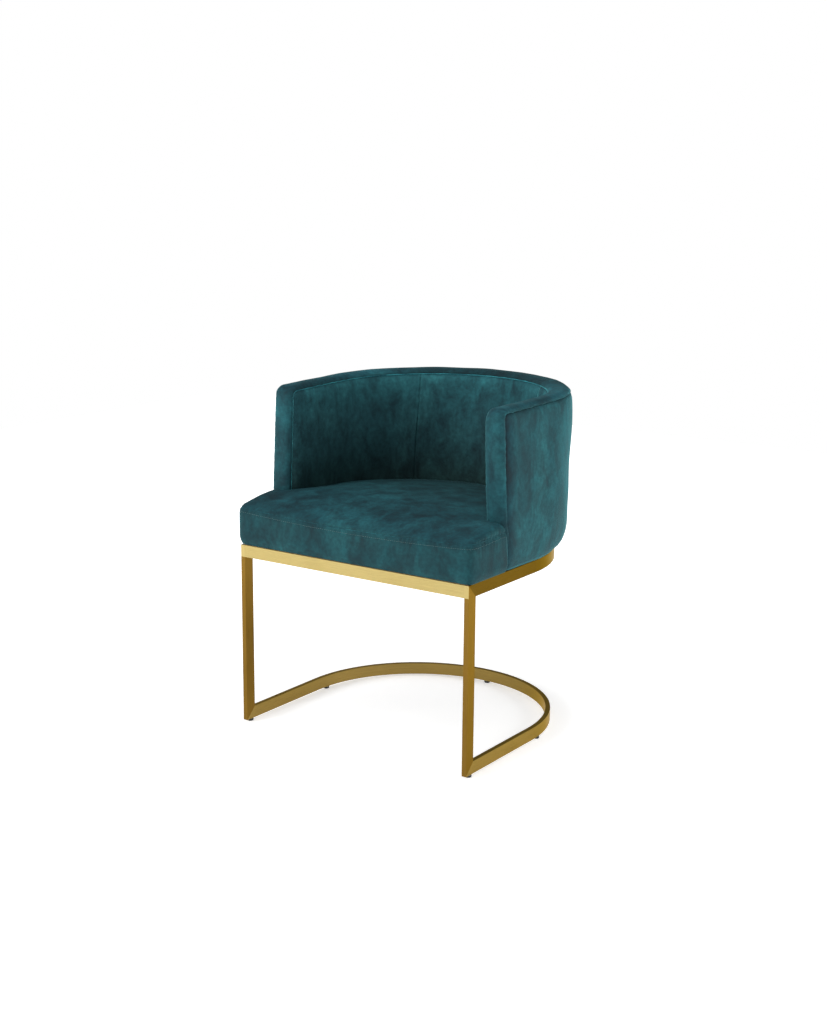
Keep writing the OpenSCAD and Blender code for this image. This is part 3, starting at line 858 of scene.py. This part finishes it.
def edge_line(edge, inner):
    """An edge of the rim band, lifted just clear of the covers it joins."""
    out = []
    for i, p in enumerate(edge):
        q, r = edge[max(0, i - 1)], edge[min(len(edge) - 1, i + 1)]
        other = edge_in[i] if not inner else edge_out[i]
        away = (p - other).normalized()
        up = (r - q).cross(edge_in[i] - edge_out[i]).normalized()
        n = (away * 0.7 + up * 0.7).normalized()
        out.append((p + n * 0.0012, n))
    return out


# The inner lip wears the painted-highlight velvet.
rim_seams = [seam_ridge("rim_outer_seam", edge_line(edge_out, False), 0.0008, M_BAND_PAINTED_LIGHT_AND_SHADE),
             seam_ridge("rim_inner_seam", edge_line(edge_in, True), 0.0018, M_LIP_PAINTED_HIGHLIGHT)]


# ---------------------------------------------------------------- which pieces stand for what

for piece, nodes, slot in (
        (cushion, ("seat_foam", "seat_top_panel", "seat_boxing"), "velvet"),
        (outside, ("outside_panel", "outside_padding"), "velvet_panel"),
        (inside[0][0], ("right_inside_panel",), "velvet_panel"),
        (inside[1][0], ("middle_inside_panel", "inside_foam"), "velvet_panel"),
        (inside[2][0], ("left_inside_panel",), "velvet_panel"),
        (rim, ("rim_band",), "velvet_band")):
    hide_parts(*nodes)
    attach(piece, ROOT)
for piece in [seat_stitches, seat_seam] + rim_seams:
    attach(piece, ROOT)

# ---------------------------------------------------------------- floor, light, camera

bpy.ops.mesh.primitive_plane_add(size=7, location=(0, 0, 0))
floor = bpy.context.object
floor.name = "studio_floor"
m, nt, p, co = new_material("studio_white")
tint = noise_tex(nt, co, 0.4, 2.0)
nt.links.new(ramp(nt, tint, [(0.3, (0.93, 0.93, 0.93)), (0.7, (0.95, 0.95, 0.95))]), p.inputs["Base Color"])
p.inputs["Roughness"].default_value = 0.9
p.inputs["Specular IOR Level"].default_value = 0.1
away = nt.nodes.new("ShaderNodeVectorMath")
away.operation = "LENGTH"
nt.links.new(co, away.inputs[0])
p.inputs["Emission Color"].default_value = (1, 1, 1, 1)
nt.links.new(grey(nt, away.outputs["Value"], 0.40, 0.95, 0.4, 2.4), p.inputs["Emission Strength"])
floor.data.materials.append(m)

world = bpy.data.worlds.new("studio")
world.use_nodes = True
wn = world.node_tree
sky = wn.nodes["Background"]
aim = wn.nodes.new("ShaderNodeTexCoord")
toward = wn.nodes.new("ShaderNodeVectorMath")
toward.operation = "DOT_PRODUCT"
toward.inputs[1].default_value = (-0.62, -0.66, 0.42)
wn.links.new(aim.outputs["Generated"], toward.inputs[0])
sky_tone = ramp(wn, grey(wn, toward.outputs["Value"], 0.0, 1.0, -1.0, 1.0),
                [(0.0, (0.10, 0.10, 0.10)), (0.45, (0.22, 0.22, 0.22)), (1.0, (0.95, 0.95, 0.95))])
seen = wn.nodes.new("ShaderNodeLightPath")
wn.links.new(mix(wn, "MIX", seen.outputs["Is Camera Ray"], sky_tone, (1.0, 1.0, 1.0)), sky.inputs[0])
sky.inputs[1].default_value = 1.0
bpy.context.scene.world = world


def soft_light(name, place, aim, size, power):
    data = bpy.data.lights.new(name, "AREA")
    data.shape, data.size, data.size_y = "RECTANGLE", size[0], size[1]
    data.energy = power
    o = bpy.data.objects.new(name, data)
    bpy.context.scene.collection.objects.link(o)
    o.location = place
    o.rotation_euler = (Vector(aim) - Vector(place)).to_track_quat("-Z", "Y").to_euler()
    return o


soft_light("key", (-1.9, -3.1, 1.5), (0, 0, 0.40), (1.5, 1.5), 68)
soft_light("fill", (2.8, 0.8, 1.0), (0, 0, 0.50), (0.9, 1.6), 52)
soft_light("top", (0.3, -0.8, 3.2), (0, 0, 0.4), (2.6, 2.6), 30)

AZIMUTH, ELEVATION, ROLL = math.radians(34.52), math.radians(12.52), math.radians(0.453)
DISTANCE, LENS = 3.6675, 56.79
TARGET = Vector((-0.1815, 0.2068, 0.380))
back = Vector((math.sin(AZIMUTH) * math.cos(ELEVATION), -math.cos(AZIMUTH) * math.cos(ELEVATION),
               math.sin(ELEVATION)))
right = Vector((math.cos(AZIMUTH), math.sin(AZIMUTH), 0))
up = back.cross(right)
right, up = (right * math.cos(ROLL) + up * math.sin(ROLL), up * math.cos(ROLL) - right * math.sin(ROLL))
cam_data = bpy.data.cameras.new("camera")
cam_data.sensor_fit = "VERTICAL"
cam_data.sensor_height = cam_data.sensor_width = 36
cam_data.lens = LENS
camera = bpy.data.objects.new("camera", cam_data)
bpy.context.scene.collection.objects.link(camera)
place = TARGET + back * DISTANCE
camera.matrix_world = Matrix(((right.x, up.x, back.x, place.x), (right.y, up.y, back.y, place.y),
                              (right.z, up.z, back.z, place.z), (0, 0, 0, 1)))
bpy.context.scene.camera = camera
bpy.context.scene.view_settings.view_transform = "Standard"
